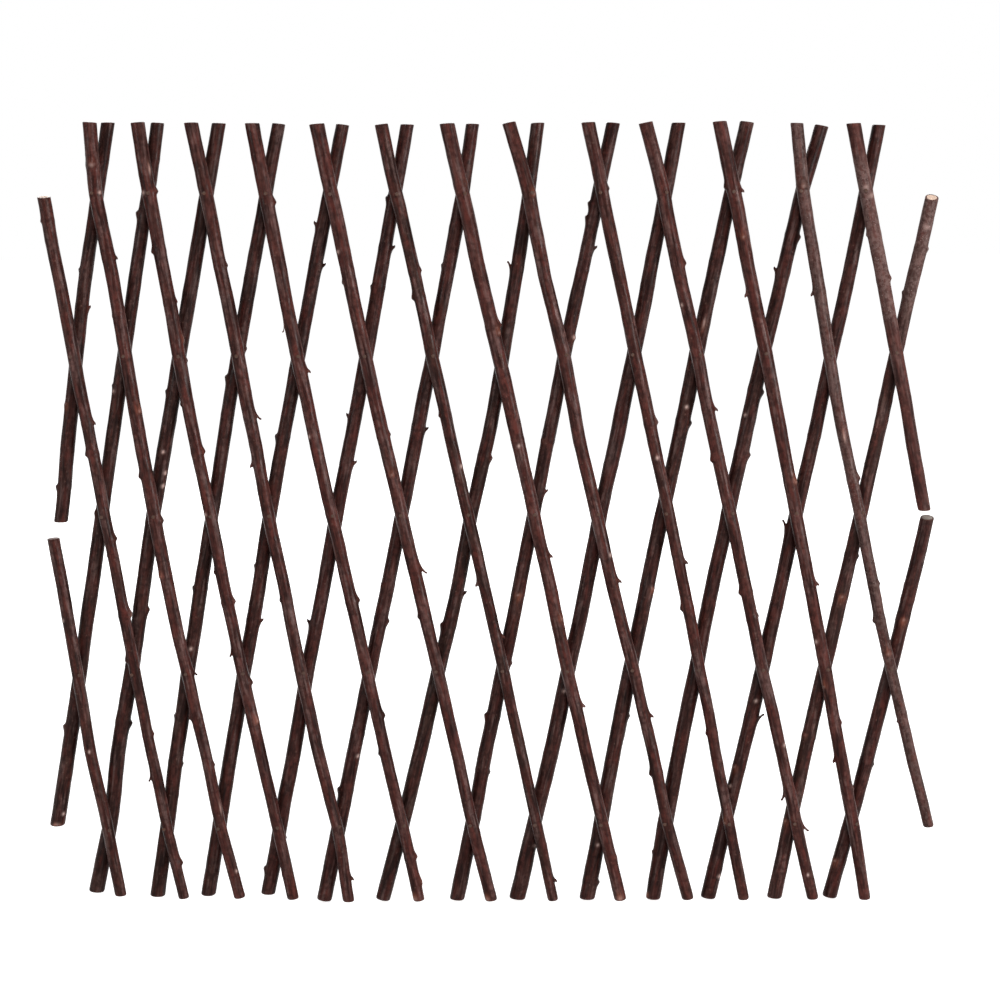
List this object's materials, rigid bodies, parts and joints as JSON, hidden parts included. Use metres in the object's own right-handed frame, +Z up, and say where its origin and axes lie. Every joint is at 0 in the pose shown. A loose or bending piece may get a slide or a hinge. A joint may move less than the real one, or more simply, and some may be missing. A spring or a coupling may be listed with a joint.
{
  "type": "expandable trellis",
  "caption": "Expandable willow lattice panel of crossed bark-on sticks nailed at each crossing, which opens and closes like scissors to support climbing plants.",
  "frame": {"origin": "on the axis of the nail at the middle crossing, in the plane of the wall behind the panel", "axes": "+X along the panel to the viewer's right, +Y away from the viewer into the wall, +Z up"},
  "size_m": [0.6799, 0.0263, 0.5977],
  "materials": {
    "front_bark": "satin bark",
    "back_bark": "satin bark",
    "weathered_bark": "dry grey-brown bark",
    "nail_steel": "dull rust-brown"
  },
  "bodies": {
    "centre_nail": {"centre_nail": "nail_steel"},
    "front_stick_08": {"front_stick_08": "front_bark", "nail_front_08_back_06": "nail_steel", "nail_front_08_back_07": "nail_steel", "nail_front_08_back_09": "nail_steel", "nail_front_08_back_10": "nail_steel"},
    "back_stick_08": {"back_stick_08": "back_bark"},
    "front_stick_07": {"front_stick_07": "front_bark", "nail_front_07_back_08": "nail_steel"},
    "back_stick_07": {"back_stick_07": "back_bark"},
    "front_stick_09": {"front_stick_09": "front_bark", "nail_front_09_back_08": "nail_steel"},
    "back_stick_09": {"back_stick_09": "back_bark"},
    "front_stick_06": {"front_stick_06": "front_bark", "nail_front_06_back_04": "nail_steel", "nail_front_06_back_05": "nail_steel", "nail_front_06_back_08": "nail_steel"},
    "back_stick_06": {"back_stick_06": "back_bark"},
    "front_stick_10": {"front_stick_10": "front_bark", "nail_front_10_back_08": "nail_steel", "nail_front_10_back_11": "nail_steel", "nail_front_10_back_12": "nail_steel"},
    "back_stick_10": {"back_stick_10": "back_bark"},
    "front_stick_05": {"front_stick_05": "front_bark", "nail_front_05_back_06": "nail_steel"},
    "back_stick_05": {"back_stick_05": "back_bark"},
    "front_stick_11": {"front_stick_11": "front_bark", "nail_front_11_back_10": "nail_steel"},
    "back_stick_11": {"back_stick_11": "back_bark"},
    "front_stick_04": {"front_stick_04": "front_bark", "nail_front_04_back_02": "nail_steel", "nail_front_04_back_03": "nail_steel", "nail_front_04_back_06": "nail_steel"},
    "back_stick_04": {"back_stick_04": "back_bark"},
    "front_stick_12": {"front_stick_12": "front_bark", "nail_front_12_back_10": "nail_steel", "nail_front_12_back_13": "nail_steel", "nail_front_12_back_14": "nail_steel"},
    "back_stick_12": {"back_stick_12": "back_bark"},
    "front_stick_03": {"front_stick_03": "front_bark", "nail_front_03_back_04": "nail_steel"},
    "back_stick_03": {"back_stick_03": "back_bark"},
    "front_stick_13": {"front_stick_13": "front_bark", "nail_front_13_back_12": "nail_steel"},
    "back_stick_13": {"back_stick_13": "back_bark"},
    "front_stick_02": {"front_stick_02": "front_bark", "nail_front_02_back_01": "nail_steel", "nail_front_02_back_04": "nail_steel"},
    "back_stick_02": {"back_stick_02": "back_bark"},
    "front_stick_14": {"front_stick_14": "front_bark", "nail_front_14_back_12": "nail_steel", "nail_front_14_back_15": "nail_steel"},
    "back_stick_14": {"back_stick_14": "weathered_bark"},
    "front_stick_01": {"front_stick_01": "front_bark", "nail_front_01_back_02": "nail_steel"},
    "back_stick_01": {"back_stick_01": "back_bark"},
    "front_stick_15": {"front_stick_15": "weathered_bark", "nail_front_15_back_14": "nail_steel"},
    "back_stick_15": {"back_stick_15": "back_bark"}
  },
  "joints": [
    {"name": "unfold", "type": "hinge", "parent": "centre_nail", "child": "front_stick_08", "pos_m": [0, -0.0145, 0], "axis": [0, -1, 0], "range_deg": [-4, 33]},
    {"name": "back_08_pivot", "type": "hinge", "parent": "centre_nail", "child": "back_stick_08", "pos_m": [0, -0.0145, 0], "axis": [0, 1, 0], "range_deg": [-4, 33]},
    {"name": "front_07_pivot", "type": "hinge", "parent": "back_stick_08", "child": "front_stick_07", "pos_m": [-0.0255, -0.0145, -0.11982], "axis": [0, -1, 0], "range_deg": [-8, 66]},
    {"name": "back_07_pivot", "type": "hinge", "parent": "front_stick_08", "child": "back_stick_07", "pos_m": [-0.0255, -0.0145, 0.11982], "axis": [0, 1, 0], "range_deg": [-8, 66]},
    {"name": "front_09_pivot", "type": "hinge", "parent": "back_stick_08", "child": "front_stick_09", "pos_m": [0.025, -0.0145, 0.11992], "axis": [0, -1, 0], "range_deg": [-8, 66]},
    {"name": "back_09_pivot", "type": "hinge", "parent": "front_stick_08", "child": "back_stick_09", "pos_m": [0.025, -0.0145, -0.11992], "axis": [0, 1, 0], "range_deg": [-8, 66]},
    {"name": "front_06_pivot", "type": "hinge", "parent": "back_stick_08", "child": "front_stick_06", "pos_m": [-0.051, -0.0145, -0.23963], "axis": [0, -1, 0], "range_deg": [-8, 66]},
    {"name": "back_06_pivot", "type": "hinge", "parent": "front_stick_08", "child": "back_stick_06", "pos_m": [-0.051, -0.0145, 0.23963], "axis": [0, 1, 0], "range_deg": [-8, 66]},
    {"name": "front_10_pivot", "type": "hinge", "parent": "back_stick_08", "child": "front_stick_10", "pos_m": [0.049, -0.0145, 0.24005], "axis": [0, -1, 0], "range_deg": [-8, 66]},
    {"name": "back_10_pivot", "type": "hinge", "parent": "front_stick_08", "child": "back_stick_10", "pos_m": [0.049, -0.0145, -0.24005], "axis": [0, 1, 0], "range_deg": [-8, 66]},
    {"name": "front_05_pivot", "type": "hinge", "parent": "back_stick_06", "child": "front_stick_05", "pos_m": [-0.126, -0.0145, -0.12013], "axis": [0, -1, 0], "range_deg": [-8, 66]},
    {"name": "back_05_pivot", "type": "hinge", "parent": "front_stick_06", "child": "back_stick_05", "pos_m": [-0.126, -0.0145, 0.12013], "axis": [0, 1, 0], "range_deg": [-8, 66]},
    {"name": "front_11_pivot", "type": "hinge", "parent": "back_stick_10", "child": "front_stick_11", "pos_m": [0.1235, -0.0145, 0.11982], "axis": [0, -1, 0], "range_deg": [-8, 66]},
    {"name": "back_11_pivot", "type": "hinge", "parent": "front_stick_10", "child": "back_stick_11", "pos_m": [0.1235, -0.0145, -0.11982], "axis": [0, 1, 0], "range_deg": [-8, 66]},
    {"name": "front_04_pivot", "type": "hinge", "parent": "back_stick_06", "child": "front_stick_04", "pos_m": [-0.148, -0.0145, -0.24063], "axis": [0, -1, 0], "range_deg": [-8, 66]},
    {"name": "back_04_pivot", "type": "hinge", "parent": "front_stick_06", "child": "back_stick_04", "pos_m": [-0.148, -0.0145, 0.24063], "axis": [0, 1, 0], "range_deg": [-8, 66]},
    {"name": "front_12_pivot", "type": "hinge", "parent": "back_stick_10", "child": "front_stick_12", "pos_m": [0.1485, -0.0145, 0.23974], "axis": [0, -1, 0], "range_deg": [-8, 66]},
    {"name": "back_12_pivot", "type": "hinge", "parent": "front_stick_10", "child": "back_stick_12", "pos_m": [0.1485, -0.0145, -0.23974], "axis": [0, 1, 0], "range_deg": [-8, 66]},
    {"name": "front_03_pivot", "type": "hinge", "parent": "back_stick_04", "child": "front_stick_03", "pos_m": [-0.2155, -0.0145, -0.1206], "axis": [0, -1, 0], "range_deg": [-8, 66]},
    {"name": "back_03_pivot", "type": "hinge", "parent": "front_stick_04", "child": "back_stick_03", "pos_m": [-0.2155, -0.0145, 0.1206], "axis": [0, 1, 0], "range_deg": [-8, 66]},
    {"name": "front_13_pivot", "type": "hinge", "parent": "back_stick_12", "child": "front_stick_13", "pos_m": [0.223, -0.0145, 0.12013], "axis": [0, -1, 0], "range_deg": [-8, 66]},
    {"name": "back_13_pivot", "type": "hinge", "parent": "front_stick_12", "child": "back_stick_13", "pos_m": [0.223, -0.0145, -0.12013], "axis": [0, 1, 0], "range_deg": [-8, 66]},
    {"name": "front_02_pivot", "type": "hinge", "parent": "back_stick_04", "child": "front_stick_02", "pos_m": [-0.235, -0.0145, -0.24154], "axis": [0, -1, 0], "range_deg": [-8, 66]},
    {"name": "back_02_pivot", "type": "hinge", "parent": "front_stick_04", "child": "back_stick_02", "pos_m": [-0.235, -0.0145, 0.24154], "axis": [0, 1, 0], "range_deg": [-8, 66]},
    {"name": "front_14_pivot", "type": "hinge", "parent": "back_stick_12", "child": "front_stick_14", "pos_m": [0.248, -0.0145, 0.24005], "axis": [0, -1, 0], "range_deg": [-8, 66]},
    {"name": "back_14_pivot", "type": "hinge", "parent": "front_stick_12", "child": "back_stick_14", "pos_m": [0.248, -0.0145, -0.24005], "axis": [0, 1, 0], "range_deg": [-8, 66]},
    {"name": "front_01_pivot", "type": "hinge", "parent": "back_stick_02", "child": "front_stick_01", "pos_m": [-0.296, -0.0145, -0.12086], "axis": [0, -1, 0], "range_deg": [-8, 66]},
    {"name": "back_01_pivot", "type": "hinge", "parent": "front_stick_02", "child": "back_stick_01", "pos_m": [-0.296, -0.0145, 0.12086], "axis": [0, 1, 0], "range_deg": [-8, 66]},
    {"name": "front_15_pivot", "type": "hinge", "parent": "back_stick_14", "child": "front_stick_15", "pos_m": [0.3205, -0.0145, 0.12022], "axis": [0, -1, 0], "range_deg": [-8, 66]},
    {"name": "back_15_pivot", "type": "hinge", "parent": "front_stick_14", "child": "back_stick_15", "pos_m": [0.3205, -0.0145, -0.12022], "axis": [0, 1, 0], "range_deg": [-8, 66]}
  ],
  "couplings": [
    {"joint": "back_08_pivot", "follows": "unfold", "ratio": 1},
    {"joint": "front_07_pivot", "follows": "unfold", "ratio": 2},
    {"joint": "back_07_pivot", "follows": "unfold", "ratio": 2},
    {"joint": "front_09_pivot", "follows": "unfold", "ratio": 2},
    {"joint": "back_09_pivot", "follows": "unfold", "ratio": 2},
    {"joint": "front_06_pivot", "follows": "unfold", "ratio": 2},
    {"joint": "back_06_pivot", "follows": "unfold", "ratio": 2},
    {"joint": "front_10_pivot", "follows": "unfold", "ratio": 2},
    {"joint": "back_10_pivot", "follows": "unfold", "ratio": 2},
    {"joint": "front_05_pivot", "follows": "unfold", "ratio": 2},
    {"joint": "back_05_pivot", "follows": "unfold", "ratio": 2},
    {"joint": "front_11_pivot", "follows": "unfold", "ratio": 2},
    {"joint": "back_11_pivot", "follows": "unfold", "ratio": 2},
    {"joint": "front_04_pivot", "follows": "unfold", "ratio": 2},
    {"joint": "back_04_pivot", "follows": "unfold", "ratio": 2},
    {"joint": "front_12_pivot", "follows": "unfold", "ratio": 2},
    {"joint": "back_12_pivot", "follows": "unfold", "ratio": 2},
    {"joint": "front_03_pivot", "follows": "unfold", "ratio": 2},
    {"joint": "back_03_pivot", "follows": "unfold", "ratio": 2},
    {"joint": "front_13_pivot", "follows": "unfold", "ratio": 2},
    {"joint": "back_13_pivot", "follows": "unfold", "ratio": 2},
    {"joint": "front_02_pivot", "follows": "unfold", "ratio": 2},
    {"joint": "back_02_pivot", "follows": "unfold", "ratio": 2},
    {"joint": "front_14_pivot", "follows": "unfold", "ratio": 2},
    {"joint": "back_14_pivot", "follows": "unfold", "ratio": 2},
    {"joint": "front_01_pivot", "follows": "unfold", "ratio": 2},
    {"joint": "back_01_pivot", "follows": "unfold", "ratio": 2},
    {"joint": "front_15_pivot", "follows": "unfold", "ratio": 2},
    {"joint": "back_15_pivot", "follows": "unfold", "ratio": 2}
  ]
}
